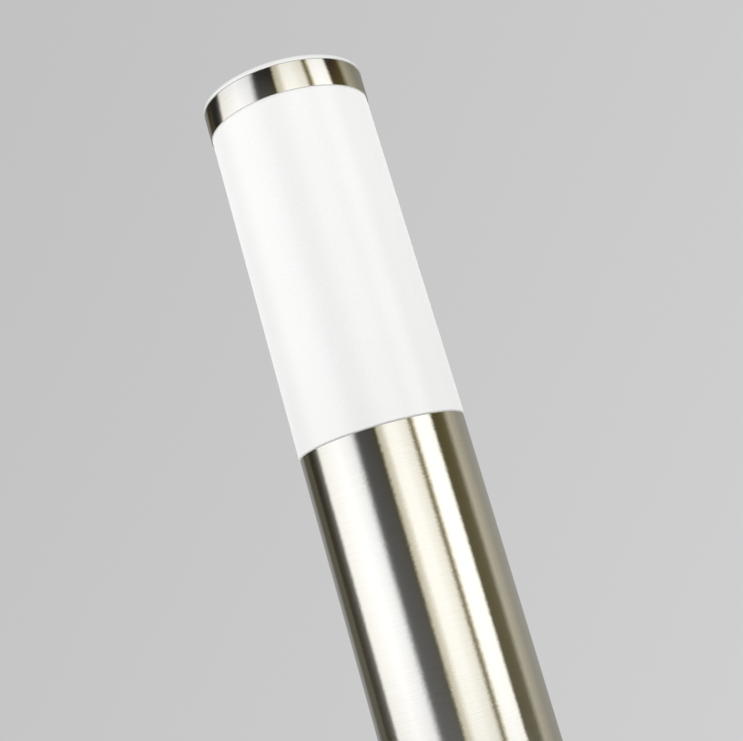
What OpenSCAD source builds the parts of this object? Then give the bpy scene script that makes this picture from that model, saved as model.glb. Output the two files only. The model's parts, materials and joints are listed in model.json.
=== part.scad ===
// Outdoor pillar light: a round stainless post on a bolt-down foot, with a pull-off opal head
// over a screw-in lamp. Millimetres. Origin at the centre of the underside, +Z up the post.

/* [Post] */
// Height of the whole light
overall_h = 450; // [400:10:1100]
// Outside diameter of the post
post_d = 76; // [76:0.5:78]
// Wall of the post
post_wall = 1.2; // [1:0.1:1.3]

/* [Head] */
// Bare height of the diffuser, from the post to the trim band
diffuser_h = 155; // [140:5:180]
// Diameter of the diffuser at its foot
diffuser_foot_d = 76.8; // [76.6:0.1:77.2]
// Diameter of the diffuser at the trim band
diffuser_neck_d = 74.9; // [74.7:0.1:75.3]
// Wall of the diffuser
diffuser_wall = 2.2; // [1.8:0.1:2.2]
// Height of the trim band
band_h = 13.2; // [10:0.2:18]
// Sheet thickness of the trim band
band_t = 0.5; // [0.3:0.1:0.5]
// Diameter of the end cap's lip
cap_d = 76.6; // [76.4:0.1:78]
// Radius of the end cap's rounded edge
cap_edge_r = 3.1; // [2.5:0.1:4]

/* [Foot] */
// Diameter of the base plate
plate_d = 127; // [122:1:150]
// Thickness of the base plate
plate_t = 4; // [3:0.5:6]
// Thickness of the rubber pad under the base plate
pad_t = 2; // [1.5:0.5:3]
// Circle that the three fixing holes lie on
bolt_circle_d = 104; // [100:1:108]
// Diameter of each fixing hole
bolt_hole_d = 6.5; // [5:0.5:8]
// Diameter of the cable hole in the grommet
cable_hole_d = 9; // [7:0.5:10]

/* [Lamp] */
// Largest diameter of the lamp's globe
globe_d = 60; // [55:1:60]
// Length of the lamp, contact to crown
lamp_len = 109; // [100:1:112]
// Pitch of the lamp thread
thread_pitch = 3.629; // [3.5:0.001:3.7]

/* [Hidden] */
$fn = 96;

fit_gap = 0.05;     // between parts pushed together
screw_gap = 0.02;   // round a screw in its own hole
cut = 1;            // how far a cutter runs past a face

// Heights up the post
plate_z = pad_t;
floor_z = plate_z + plate_t;
crown_h = 0.7;
joint_gap = 0.4;                      // between the post and the head, where the seal sits
head_h = diffuser_h + band_h + cap_edge_r + crown_h;
foot_z = overall_h - head_h;          // underside of the diffuser
post_top_z = foot_z - joint_gap;
band_z = foot_z + diffuser_h;
cap_z = band_z + band_h;              // underside of the end cap's lip

// Post and base plate
post_r = post_d / 2;
post_bore_r = post_r - post_wall;
plate_r = plate_d / 2;
plate_edge_r = 1.5;
plate_bore_r = 10;
pad_r = plate_r - 1.5;
pad_bore_r = 16;
ring_h = 22;
ring_wall = 2.5;
ring_r = post_bore_r - 0.2;
side_screw_z = floor_z + 12;
side_screw_r = 2;
side_screw_head_r = 3.8;
side_screw_head_h = 2.2;
SIDE_ANGLES = [30, 150, 270];
BOLT_ANGLES = [90, 210, 330];

// Screws: radius of the shank, and of the head
m2_r = 1;
m3_r = 1.5;
m4_r = 2;
m3_head_r = 2.8;
m4_head_r = 3.6;
m3_nut_r = 3.2;                       // across corners, halved
m4_nut_r = 3.9;

// Terminal bracket, which stands behind the cable hole
bracket_y = 12.5;                     // its front face
bracket_t = 1.5;
bracket_w = 32;
bracket_top_z = floor_z + 66;
bracket_foot = 16.5;
bracket_screw_x = 9;
bracket_screw_y = 21;
earth_screw_x = 10;
earth_screw_z = floor_z + 29;
block_z = floor_z + 36;
block_w = 32;
block_d = 14;
block_h = 22;
block_step = 3;                       // how far the pole housings stand in front of the block
block_front_y = bracket_y - block_d;
POLE_X = [-10, 0, 10];
pole_y = bracket_y - 6.5;
pole_w = 6;
pole_tube_r = 2.8;
pole_bore_r = 1.7;
pole_screw_r = 1.3;
pole_screw_head_r = 2.1;
POLE_SCREW_Z = [block_z + 5.5, block_z + block_h - 5.5];
BLOCK_SCREW_X = [-5, 5];
lug_t = 0.8;
lug_axis = 1.45;                      // height of a lug's barrel over its ring
lug_gap = 0.05;

// Lampholder and its seat in the top of the post
collar_h = 28.6;
collar_wall = 1.75;
collar_r = post_bore_r - fit_gap;
collar_bore_r = collar_r - collar_wall;
collar_z = post_top_z - collar_h;
ledge_t = 4;
ledge_bore_r = 27.2;
boss_r = 3.2;
boss_h = 5;
PLATE_SCREW_ANGLES = [90, 210, 330];
plate_screw_ring_r = 30.6;
carrier_z = collar_z + ledge_t;       // underside of the holder plate
carrier_t = 1.5;
carrier_r = collar_bore_r - 0.6;
holder_z = carrier_z + carrier_t;
holder_h = 35.5;
holder_r = 19.2;
holder_rim_r = 18.2;
holder_bore_r = 14.3;
holder_floor_z = holder_z + 8;
holder_floor_t = 2;
holder_screw_x = 22;
holder_ear_r = 5;
holder_ear_h = 5;
holder_under_z = holder_floor_z - holder_floor_t;
plate_earth = [-16, 16.5];            // the earth screw on the holder plate
rivet_x = 11;
rivet_r = 0.9;
rivet_head_r = 1.6;
holder_pole_x = 5;
strip_t = 0.6;                        // brass strip under the holder's floor

// Centre contact: a sprung tongue that hinges down about its root
leaf_t = 0.4;
leaf_w = 5;
leaf_root_x = -7.6;
leaf_root_z = holder_floor_z + 1.1;
contact_gap = 0.15;                   // between the tongue and the lamp

// Lamp, measured up from its centre contact
lamp_z = holder_z + 11.5;
cap_thread_z = lamp_z + 6;
cap_thread_len = 18;
cap_rim_z = cap_thread_z + cap_thread_len;
thread_mid_r = 12.58;
thread_depth = 0.52;                  // half the height of the rounded thread
thread_play = 0.34;                   // radial room between lamp and holder threads
housing_z = cap_rim_z + 2;
housing_top_z = lamp_z + 68;
globe_r = globe_d / 2;
globe_mid_z = lamp_z + lamp_len - globe_r - 3;
lamp_wall = 1.4;
board_z = housing_top_z - 3;
board_t = 1.6;
driver_t = 1.6;

// Head
foot_r = diffuser_foot_d / 2;
neck_r = diffuser_neck_d / 2;
draft = (foot_r - neck_r) / diffuser_h;
band_r = neck_r + fit_gap + band_t;
ring_spigot_r = collar_bore_r - 0.3;
ring_spigot_len = 14;
ring_socket_len = 11;
oring_r = 0.7;                        // radius of the O-ring's cord
ORING_DEPTHS = [4.5, 10];
cap_r = cap_d / 2;
cap_spigot_len = 6;

// Routes of the wires, hand-laid up the rear wall of the post
wire_r = 1.1;
LIVE_ROUTE = [
    [-10, 6, 54], [-10, 6, 60], [-10, 6, 66], [-9, 9, 79], [-5, 18, 97], [-2, 26, 119], [-1, 29, 147],
    [-1, 29, 176], [-1, 24, 205], [-3, 14, 227], [-4, 6, 240], [-5, 0, 249], [-5, 0, 253], [-5, 0, 258]
];
NEUTRAL_ROUTE = [
    [0, 6, 54], [0, 6, 60], [0, 6, 66], [1, 9, 78], [4, 18, 97], [7, 26, 120], [8, 28, 147],
    [7, 28, 176], [6, 23, 206], [5, 12, 229], [5, 4, 241], [5, 0, 249], [5, 0, 253], [5, 0, 258]
];
EARTH_LOWER_ROUTE = [
    [10, 6, 54], [10, 6, 60], [10, 6, 67], [12, 6, 73], [17, 6.5, 76], [22, 7.5, 73], [24, 8, 65],
    [24.5, 9, 53], [25, 10.5, 43], [24, 11, 37], [21.5, 11, 35], [19.5, 11, 35], [15.6, 11, 35]
];
EARTH_UPPER_ROUTE = [
    [-15.6, 11, 35], [-19.5, 11, 35], [-22, 11, 35], [-25, 12, 38], [-27, 15, 47], [-26, 19, 62],
    [-21, 24, 84], [-14, 27, 110], [-10, 29, 140], [-10, 29, 172], [-9, 26, 202], [-3, 22, 230],
    [1, 19, 240], [2, 17, 247], [0, 16.5, 250.8], [-3.5, 16.5, 251.5], [-6.8, 16.5, 251.5],
    [-10.4, 16.5, 251.5]
];

// ---------- shared shapes ----------

module tube(r_out, r_in, h) {
    difference() {
        cylinder(r = r_out, h = h);
        translate([0, 0, -cut]) cylinder(r = r_in, h = h + 2 * cut);
    }
}

module round_hole(r, h) {
    translate([0, 0, -cut]) cylinder(r = r, h = h + 2 * cut);
}

// A screw whose head's underside is at z = 0 and whose shank points down
module pan_screw(shank_r, shank_len, head_r, head_h, drive_r, sides) {
    edge = head_h * 0.45;
    difference() {
        union() {
            rotate_extrude()
                polygon(concat(
                    [[0, 0], [head_r, 0], [head_r, head_h - edge]],
                    [for (a = [22.5:22.5:90]) [head_r - edge + edge * cos(a), head_h - edge + edge * sin(a)]],
                    [[0, head_h]]));
            translate([0, 0, -shank_len]) cylinder(r = shank_r, h = shank_len + 0.2);
        }
        translate([0, 0, head_h * 0.4])
            if (sides == 6)
                cylinder(r = drive_r, h = head_h, $fn = 6);
            else
                for (a = [0, 90]) rotate([0, 0, a])
                    translate([-drive_r, -drive_r * 0.2, 0]) cube([2 * drive_r, drive_r * 0.4, head_h]);
    }
}

module hex_nut(bolt_r, flat_r, h) {
    difference() {
        cylinder(r = flat_r, h = h, $fn = 6);
        round_hole(bolt_r + screw_gap, h);
    }
}

// Catmull-Rom curve through hand-laid points
function spline_point(a, b, c, d, t) =
    0.5 * (2 * b + (c - a) * t + (2 * a - 5 * b + 4 * c - d) * t * t + (3 * b - a - 3 * c + d) * t * t * t);
function route_at(p, i) = p[max(0, min(len(p) - 1, i))];
function smooth_route(p, steps) = concat(
    [for (i = [0:len(p) - 2]) for (s = [0:steps - 1])
        spline_point(route_at(p, i - 1), p[i], p[i + 1], route_at(p, i + 2), s / steps)],
    [p[len(p) - 1]]);
function unit(v) = v / norm(v);
function heading(p, i) = unit(route_at(p, i + 1) - route_at(p, i - 1));

// A round wire swept along a route. No stretch of the route may run along the vector across
module wire(route, across, steps = 4, sides = 8) {
    path = smooth_route(route, steps);
    last = len(path) - 1;
    points = [for (i = [0:last])
        let (t = heading(path, i), u = unit(cross(t, across)), v = cross(t, u))
        for (k = [0:sides - 1]) path[i] + wire_r * (cos(360 * k / sides) * u + sin(360 * k / sides) * v)];
    walls = [for (i = [0:last - 1]) for (k = [0:sides - 1])
        let (a = i * sides + k, b = i * sides + (k + 1) % sides)
        each [[a, a + sides, b + sides], [a, b + sides, b]]];
    ends = [[for (k = [0:sides - 1]) k], [for (k = [sides - 1:-1:0]) last * sides + k]];
    polyhedron(points, concat(walls, ends), convexity = 6);
}

// A sleeve with the lamp's rounded thread on one side and a plain wall on the other, and a flange
// at the top if one is asked for. The thread is right-handed: a turn about +Z lifts it by one pitch
module threaded_sleeve(mid_r, depth, plain_r, z0, len, flange_r = 0, flange_h = 0, inside = false) {
    sides = 24;
    rings_per_turn = 6;
    thread_rings = ceil(len / thread_pitch * rings_per_turn);
    top_ring = thread_rings + (flange_h > 0 ? 2 : 0);
    function next(k) = (k + 1) % sides;
    function ring_z(j) =
        z0 + (j <= thread_rings ? len * j / thread_rings : len + flange_h * (j - thread_rings - 1));
    function thread_r(z, a) = mid_r + depth * cos(360 * z / thread_pitch - a);
    function ring_r(j, a) = j <= thread_rings ? thread_r(ring_z(j), a) : flange_r;
    function at(r, a, z) = [r * cos(a), r * sin(a), z];
    outer = [for (j = [0:top_ring]) for (k = [0:sides - 1])
        at(ring_r(j, 360 * k / sides), 360 * k / sides, ring_z(j))];
    plain = [for (z = [z0, z0 + len + flange_h]) for (k = [0:sides - 1]) at(plain_r, 360 * k / sides, z)];
    base = (top_ring + 1) * sides;
    top = top_ring * sides;
    faces = concat(
        [for (j = [0:top_ring - 1]) for (k = [0:sides - 1])
            let (a = j * sides + k, b = j * sides + next(k))
            each [[a, a + sides, b + sides], [a, b + sides, b]]],
        [for (k = [0:sides - 1])
            let (a = base + k, b = base + next(k))
            each [[a, b + sides, a + sides], [a, b, b + sides]]],
        [for (k = [0:sides - 1])
            let (o = k, p = base + k, o2 = next(k), p2 = base + next(k))
            each [[p2, p, o], [o2, p2, o]]],
        [for (k = [0:sides - 1])
            let (o = top + k, p = base + sides + k, o2 = top + next(k), p2 = base + sides + next(k))
            each [[o, p, p2], [o, p2, o2]]]);
    polyhedron(concat(outer, plain), inside ? [for (f = faces) [f[2], f[1], f[0]]] : faces, convexity = 8);
}

// ---------- foot ----------

module base_pad() {
    color([0.10, 0.10, 0.11])
    difference() {
        tube(pad_r, pad_bore_r, pad_t);
        for (a = BOLT_ANGLES) rotate([0, 0, a]) translate([bolt_circle_d / 2, 0, 0])
            round_hole(bolt_hole_d / 2 + 1, pad_t);
    }
}

module base_plate() {
    color([0.74, 0.74, 0.72])
    difference() {
        translate([0, 0, plate_z]) rotate_extrude() {
            square([plate_r - plate_edge_r, plate_t]);
            square([plate_r, plate_t - plate_edge_r]);
            translate([plate_r - plate_edge_r, plate_t - plate_edge_r]) circle(r = plate_edge_r);
        }
        translate([0, 0, plate_z]) round_hole(plate_bore_r, plate_t);
        for (a = BOLT_ANGLES) rotate([0, 0, a]) translate([bolt_circle_d / 2, 0, plate_z])
            round_hole(bolt_hole_d / 2, plate_t);
        for (s = [-1, 1]) translate([s * bracket_screw_x, bracket_screw_y, plate_z])
            round_hole(m4_r + screw_gap, plate_t);
    }
}

module locating_ring() {
    color([0.70, 0.70, 0.69])
    difference() {
        translate([0, 0, floor_z]) tube(ring_r, ring_r - ring_wall, ring_h);
        for (a = SIDE_ANGLES) rotate([0, 0, a]) translate([0, 0, side_screw_z]) rotate([0, 90, 0])
            cylinder(r = side_screw_r + screw_gap, h = post_d);
    }
}

module side_screws() {
    color([0.80, 0.80, 0.79])
    for (a = SIDE_ANGLES) rotate([0, 0, a]) translate([post_r + fit_gap, 0, side_screw_z]) rotate([0, 90, 0])
        pan_screw(side_screw_r, 6, side_screw_head_r, side_screw_head_h, 1.45, 6);
}

module cable_grommet() {
    flange_r = 11.5;
    lower = 0.4;
    upper_h = 2.2;
    color([0.08, 0.08, 0.09])
    difference() {
        union() {
            translate([0, 0, lower]) cylinder(r = flange_r, h = plate_z - lower - fit_gap);
            translate([0, 0, lower]) cylinder(r = plate_bore_r - fit_gap, h = plate_t + plate_z + 1 - lower);
            translate([0, 0, floor_z + fit_gap]) cylinder(r1 = flange_r, r2 = flange_r - 1.4, h = upper_h);
        }
        round_hole(cable_hole_d / 2, floor_z + upper_h);
    }
}

// ---------- wiring ----------

module terminal_bracket() {
    corner_r = 3;
    wall_h = bracket_top_z - floor_z;
    rear_y = bracket_y + bracket_t;
    color([0.62, 0.63, 0.65])
    difference() {
        union() {
            translate([-bracket_w / 2, bracket_y, floor_z]) cube([bracket_w, bracket_foot, bracket_t]);
            translate([-bracket_w / 2, bracket_y, floor_z]) cube([bracket_w, bracket_t, wall_h - corner_r]);
            translate([-bracket_w / 2 + corner_r, bracket_y, floor_z])
                cube([bracket_w - 2 * corner_r, bracket_t, wall_h]);
            for (s = [-1, 1])
                facing_forward(s * (bracket_w / 2 - corner_r), rear_y, bracket_top_z - corner_r)
                    cylinder(r = corner_r, h = bracket_t);
        }
        for (s = [-1, 1]) {
            translate([s * bracket_screw_x, bracket_screw_y, floor_z])
                round_hole(m4_r + screw_gap, bracket_t);
            facing_forward(s * earth_screw_x, rear_y, earth_screw_z)
                round_hole(m4_r + screw_gap, bracket_t);
        }
        for (x = BLOCK_SCREW_X) facing_forward(x, rear_y, block_z + block_h / 2)
            round_hole(m3_r + screw_gap, bracket_t);
    }
}

// Turns +Z to face the front, -Y
module facing_forward(x, y, z) {
    translate([x, y, z]) rotate([90, 0, 0]) children();
}

module bracket_screws() {
    color([0.66, 0.67, 0.69])
    for (s = [-1, 1]) translate([s * bracket_screw_x, bracket_screw_y, floor_z + bracket_t])
        pan_screw(m4_r, 5, m4_head_r, 2.4, 2, 4);
}

module terminal_block() {
    color([0.93, 0.93, 0.91])
    difference() {
        union() {
            translate([-block_w / 2, block_front_y + block_step, block_z])
                cube([block_w, block_d - block_step, block_h]);
            for (x = POLE_X) translate([x - pole_w / 2, block_front_y, block_z + 1.5])
                cube([pole_w, block_step + 1, block_h - 3]);
        }
        for (x = POLE_X) {
            translate([x, pole_y, block_z]) round_hole(pole_tube_r + fit_gap, block_h);
            for (z = POLE_SCREW_Z) facing_forward(x, pole_y, z)
                cylinder(r = pole_screw_head_r + 0.2, h = block_d);
        }
        for (x = BLOCK_SCREW_X) facing_forward(x, bracket_y, block_z + block_h / 2)
            round_hole(m3_r + screw_gap, block_d);
    }
}

module terminal_tubes() {
    inset = 1.2;
    color([0.80, 0.65, 0.32])
    for (x = POLE_X) difference() {
        translate([x, pole_y, block_z + inset]) cylinder(r = pole_tube_r, h = block_h - 2 * inset);
        translate([x, pole_y, block_z]) round_hole(pole_bore_r, block_h);
        for (z = POLE_SCREW_Z) facing_forward(x, pole_y, z)
            cylinder(r = pole_screw_r + screw_gap, h = block_d);
    }
}

module terminal_screws() {
    seat = 3.4;
    color([0.70, 0.71, 0.72])
    for (x = POLE_X) for (z = POLE_SCREW_Z) facing_forward(x, pole_y - seat, z)
        pan_screw(pole_screw_r, 2, pole_screw_head_r, 2.6, 1.4, 4);
}

module block_screws() {
    color([0.66, 0.67, 0.69])
    for (x = BLOCK_SCREW_X) facing_forward(x, block_front_y + block_step, block_z + block_h / 2)
        pan_screw(m3_r, block_d + 1.5, 1.9, 1.8, 1.3, 4);
}

// A crimped ring lug: its hole is on the Z axis and its barrel points along +X
module ring_lug() {
    ring_r = 4;
    neck = 4.4;
    barrel_r = 1.5;
    difference() {
        union() {
            cylinder(r = ring_r, h = lug_t);
            translate([0, -barrel_r, 0]) cube([neck + 1.2, 2 * barrel_r, lug_t]);
            translate([neck, 0, lug_axis]) rotate([0, 90, 0]) cylinder(r = barrel_r, h = 5);
        }
        round_hole(m4_r + screw_gap, lug_t);
        translate([neck + 1, 0, lug_axis]) rotate([0, 90, 0]) cylinder(r = wire_r + 0.08, h = 6);
    }
}

module earth_lugs() {
    color([0.78, 0.78, 0.77]) {
        for (s = [-1, 1]) facing_forward(s * earth_screw_x, bracket_y - lug_gap, earth_screw_z)
            rotate([0, 0, s < 0 ? 180 : 0]) ring_lug();
        translate([plate_earth.x, plate_earth.y, carrier_z - lug_gap]) rotate([180, 0, 0]) ring_lug();
    }
}

module earth_screws() {
    color([0.66, 0.67, 0.69]) {
        for (s = [-1, 1]) facing_forward(s * earth_screw_x, bracket_y - 2 * lug_gap - lug_t, earth_screw_z)
            pan_screw(m4_r, 6, m4_head_r, 2.4, 2, 4);
        translate([plate_earth.x, plate_earth.y, carrier_z + carrier_t])
            pan_screw(m4_r, 6, m4_head_r, 2.4, 2, 4);
    }
}

module earth_nut() {
    nut_h = 3;
    color([0.66, 0.67, 0.69])
    translate([plate_earth.x, plate_earth.y, carrier_z - 2 * lug_gap - lug_t - nut_h])
        hex_nut(m4_r, m4_nut_r, nut_h);
}

module live_wire() {
    color([0.42, 0.22, 0.10]) wire(LIVE_ROUTE, [1, 0, 0]);
}

module neutral_wire() {
    color([0.12, 0.30, 0.68]) wire(NEUTRAL_ROUTE, [1, 0, 0]);
}

module earth_wire_lower() {
    color([0.45, 0.70, 0.15]) wire(EARTH_LOWER_ROUTE, [0, 1, 0]);
}

module earth_wire_upper() {
    color([0.45, 0.70, 0.15]) wire(EARTH_UPPER_ROUTE, [0, 1, 0]);
}

// ---------- post and lampholder ----------

module post_tube() {
    color([0.76, 0.76, 0.74])
    difference() {
        translate([0, 0, floor_z]) tube(post_r, post_bore_r, post_top_z - floor_z);
        for (a = SIDE_ANGLES) rotate([0, 0, a]) translate([0, 0, side_screw_z]) rotate([0, 90, 0])
            cylinder(r = side_screw_r + 0.25, h = post_d);
    }
}

module seat_collar() {
    color([0.88, 0.88, 0.86])
    difference() {
        union() {
            translate([0, 0, collar_z]) tube(collar_r, collar_bore_r, collar_h - fit_gap);
            translate([0, 0, collar_z]) tube(collar_r - 0.4, ledge_bore_r, ledge_t - fit_gap);
            for (a = PLATE_SCREW_ANGLES) rotate([0, 0, a])
                translate([plate_screw_ring_r, 0, collar_z - boss_h]) cylinder(r = boss_r, h = boss_h + 1);
        }
        for (a = PLATE_SCREW_ANGLES) rotate([0, 0, a])
            translate([plate_screw_ring_r, 0, collar_z - boss_h + 1]) cylinder(r = m3_r + screw_gap, h = 20);
    }
}

module holder_plate() {
    wire_hole_r = 8;
    color([0.64, 0.65, 0.67])
    translate([0, 0, carrier_z]) difference() {
        cylinder(r = carrier_r, h = carrier_t);
        round_hole(wire_hole_r, carrier_t);
        for (a = PLATE_SCREW_ANGLES) rotate([0, 0, a]) translate([plate_screw_ring_r, 0, 0])
            round_hole(m3_r + screw_gap, carrier_t);
        for (s = [-1, 1]) translate([s * holder_screw_x, 0, 0]) round_hole(m3_r + screw_gap, carrier_t);
        translate([plate_earth.x, plate_earth.y, 0]) round_hole(m4_r + screw_gap, carrier_t);
    }
}

module plate_screws() {
    color([0.66, 0.67, 0.69])
    for (a = PLATE_SCREW_ANGLES) rotate([0, 0, a]) translate([plate_screw_ring_r, 0, carrier_z + carrier_t])
        pan_screw(m3_r, 7.5, m3_head_r, 1.8, 1.6, 4);
}

module holder_body() {
    color([0.94, 0.93, 0.90])
    difference() {
        union() {
            translate([0, 0, holder_z]) rotate_extrude()
                polygon([
                    [0, 0], [holder_r, 0], [holder_r, 11], [holder_rim_r, 13], [holder_rim_r, holder_h - 3.5],
                    [holder_rim_r + 0.9, holder_h - 2.8], [holder_rim_r + 0.9, holder_h - 0.8],
                    [holder_rim_r + 0.1, holder_h], [0, holder_h]
                ]);
            translate([-holder_screw_x, -holder_ear_r, holder_z])
                cube([2 * holder_screw_x, 2 * holder_ear_r, holder_ear_h]);
            for (s = [-1, 1]) translate([s * holder_screw_x, 0, holder_z])
                cylinder(r = holder_ear_r, h = holder_ear_h);
        }
        translate([0, 0, holder_floor_z]) cylinder(r = holder_bore_r, h = holder_h);
        translate([0, 0, holder_z - cut]) cylinder(r = holder_bore_r, h = holder_under_z - holder_z + cut);
        for (s = [-1, 1]) {
            translate([s * holder_screw_x, 0, holder_z]) round_hole(m3_r + screw_gap, holder_ear_h);
            translate([s * rivet_x, 0, holder_under_z]) round_hole(rivet_r + screw_gap, holder_floor_t);
        }
    }
}

module holder_shell() {
    shell_z = cap_thread_z - 2;
    shell_len = 18;
    tab_w = 4;
    color([0.83, 0.80, 0.72]) {
        threaded_sleeve(thread_mid_r + thread_play, thread_depth, holder_bore_r - 0.1, shell_z, shell_len,
            inside = true);
        difference() {
            translate([8.8, -tab_w / 2, holder_floor_z + fit_gap]) cube([4.8, tab_w, strip_t]);
            translate([rivet_x, 0, holder_floor_z]) round_hole(rivet_r + screw_gap, strip_t);
        }
        translate([13, -tab_w / 2, holder_floor_z + fit_gap])
            cube([strip_t, tab_w, shell_z - holder_floor_z + 0.4]);
    }
}

module holder_terminals() {
    block = [4.8, 5.2, 4.75];
    strip_w = 4;
    top_z = holder_under_z - fit_gap;
    color([0.80, 0.65, 0.32])
    for (s = [-1, 1]) difference() {
        union() {
            translate([s * holder_pole_x - block.x / 2, -block.y / 2, top_z - block.z]) cube(block);
            translate([s > 0 ? holder_pole_x : -rivet_x - 1.8, -strip_w / 2, top_z - strip_t])
                cube([rivet_x - holder_pole_x + 1.8, strip_w, strip_t]);
        }
        translate([s * holder_pole_x, 0, top_z - block.z - cut]) cylinder(r = wire_r + 0.08, h = 3.4 + cut);
        facing_forward(s * holder_pole_x, 0, holder_pole_screw_z()) cylinder(r = m2_r + screw_gap, h = 5);
        translate([s * rivet_x, 0, top_z - strip_t]) round_hole(rivet_r + screw_gap, strip_t);
    }
}

function holder_pole_screw_z() = holder_under_z - 2.9;

module holder_terminal_screws() {
    color([0.70, 0.71, 0.72])
    for (s = [-1, 1]) facing_forward(s * holder_pole_x, -2.6, holder_pole_screw_z())
        pan_screw(m2_r, 1.2, 1.7, 1.2, 1.1, 4);
}

// The strip's riveted end, bent up towards the tongue
module contact_foot() {
    low = holder_floor_z + fit_gap;
    bend_x = leaf_root_x - 0.4;
    color([0.84, 0.66, 0.36])
    difference() {
        translate([0, leaf_w / 2, 0]) rotate([90, 0, 0]) linear_extrude(leaf_w)
            polygon([
                [-rivet_x - 2, low], [bend_x - 0.8, low], [bend_x, leaf_root_z - leaf_t / 2],
                [bend_x, leaf_root_z + leaf_t / 2], [bend_x - 0.5, leaf_root_z + leaf_t / 2],
                [bend_x - 1.2, low + leaf_t], [-rivet_x - 2, low + leaf_t]
            ]);
        translate([-rivet_x, 0, low]) round_hole(rivet_r + screw_gap, leaf_t);
    }
}

// The tongue that the lamp's contact rests on
module centre_contact() {
    pad_r = leaf_w / 2;
    tip_z = lamp_z - contact_gap;
    color([0.84, 0.66, 0.36])
    intersection() {
        translate([0, leaf_w / 2, 0]) rotate([90, 0, 0]) linear_extrude(leaf_w)
            polygon([
                [leaf_root_x, leaf_root_z - leaf_t / 2], [-pad_r, tip_z - leaf_t], [pad_r, tip_z - leaf_t],
                [pad_r, tip_z], [-pad_r, tip_z], [leaf_root_x, leaf_root_z + leaf_t / 2]
            ]);
        translate([0, 0, holder_floor_z]) linear_extrude(lamp_z - holder_floor_z) union() {
            circle(r = pad_r);
            translate([leaf_root_x - cut, -leaf_w / 2]) square([cut - leaf_root_x, leaf_w]);
        }
    }
}

module contact_rivets() {
    head_h = 0.5;
    color([0.80, 0.65, 0.32])
    for (s = [-1, 1]) {
        // the strip that each rivet holds on the floor
        over = holder_floor_z + 2 * fit_gap + (s > 0 ? strip_t : leaf_t);
        under = holder_under_z - 2 * fit_gap - strip_t;
        translate([s * rivet_x, 0, under - head_h]) {
            cylinder(r = rivet_head_r, h = head_h);
            cylinder(r = rivet_r, h = over - under + 2 * head_h);
        }
        translate([s * rivet_x, 0, over]) cylinder(r = rivet_head_r, h = head_h);
    }
}

module holder_screws() {
    color([0.66, 0.67, 0.69])
    for (s = [-1, 1]) translate([s * holder_screw_x, 0, holder_z + holder_ear_h])
        pan_screw(m3_r, 10, m3_head_r, 2.2, 1.6, 4);
}

module holder_nuts() {
    nut_h = 2.4;
    color([0.66, 0.67, 0.69])
    for (s = [-1, 1]) translate([s * holder_screw_x, 0, carrier_z - fit_gap - nut_h])
        hex_nut(m3_r, m3_nut_r, nut_h);
}

// ---------- head ----------

module diffuser() {
    top_h = diffuser_h + band_h;
    bore_top_r = foot_r - diffuser_wall - draft * top_h;
    edge_r = 0.4;
    color([0.97, 0.97, 0.96])
    translate([0, 0, foot_z]) rotate_extrude()
        polygon([
            [foot_r - diffuser_wall, 0], [foot_r - edge_r, 0], [foot_r, edge_r],
            [neck_r, diffuser_h], [neck_r, top_h - fit_gap], [bore_top_r, top_h - fit_gap]
        ]);
}

module foot_ring() {
    socket_r = foot_r - diffuser_wall - 0.12;
    bore_r = ring_spigot_r - 2.3;
    color([0.93, 0.93, 0.92])
    difference() {
        translate([0, 0, foot_z]) rotate_extrude()
            polygon([
                [bore_r, -ring_spigot_len], [ring_spigot_r - 0.8, -ring_spigot_len],
                [ring_spigot_r, -ring_spigot_len + 1.4], [ring_spigot_r, 0], [socket_r, 0],
                [socket_r, ring_socket_len - 0.6], [socket_r - 0.6, ring_socket_len],
                [socket_r - 2, ring_socket_len], [bore_r, ring_socket_len - 4]
            ]);
        for (d = ORING_DEPTHS) translate([0, 0, foot_z - d - oring_r - 0.1])
            tube(ring_spigot_r + cut, ring_spigot_r - 1.25, 2 * oring_r + 0.2);
    }
}

module head_orings() {
    color([0.16, 0.16, 0.17])
    for (d = ORING_DEPTHS) translate([0, 0, foot_z - d])
        rotate_extrude() translate([collar_bore_r - 0.06 - oring_r, 0]) circle(r = oring_r);
}

module joint_seal() {
    post_clearance = 0.1;
    head_clearance = 0.02;
    color([0.88, 0.88, 0.87])
    translate([0, 0, post_top_z + post_clearance])
        tube(post_r - 0.15, ring_spigot_r + 0.1, joint_gap - post_clearance - head_clearance);
}

module trim_band() {
    color([0.76, 0.76, 0.74])
    translate([0, 0, band_z + fit_gap]) tube(band_r, band_r - band_t, band_h - 2 * fit_gap);
}

module end_cap() {
    top_r = cap_r - cap_edge_r;
    spigot_r = foot_r - diffuser_wall - draft * (diffuser_h + band_h) - 0.1;
    inside_h = 1.1;
    color([0.96, 0.96, 0.95])
    translate([0, 0, cap_z]) rotate_extrude()
        polygon(concat(
            [[0, inside_h], [spigot_r - 2, inside_h], [spigot_r - 2, -cap_spigot_len],
             [spigot_r - 0.5, -cap_spigot_len], [spigot_r, -cap_spigot_len + 0.5], [spigot_r, 0]],
            [for (a = [0:9:90]) [top_r + cap_edge_r * cos(a), cap_edge_r * sin(a)]],
            [for (s = [0.75, 0.5, 0.25, 0]) [top_r * s, cap_edge_r + crown_h * (1 - s * s)]]));
}

// ---------- lamp ----------

module lamp_contact() {
    color([0.80, 0.80, 0.78])
    translate([0, 0, lamp_z]) rotate_extrude()
        polygon([[0, 0], [2.2, 0], [3.9, 0.7], [4.5, 1.7], [4.5, 2.3], [0, 2.3]]);
}

module lamp_insulator() {
    color([0.06, 0.06, 0.08])
    translate([0, 0, lamp_z]) rotate_extrude()
        polygon([[0, 2.35], [5.2, 2.35], [7.2, 2.8], [10.9, 5.9], [10.9, 7.5], [0, 7.5]]);
}

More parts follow.
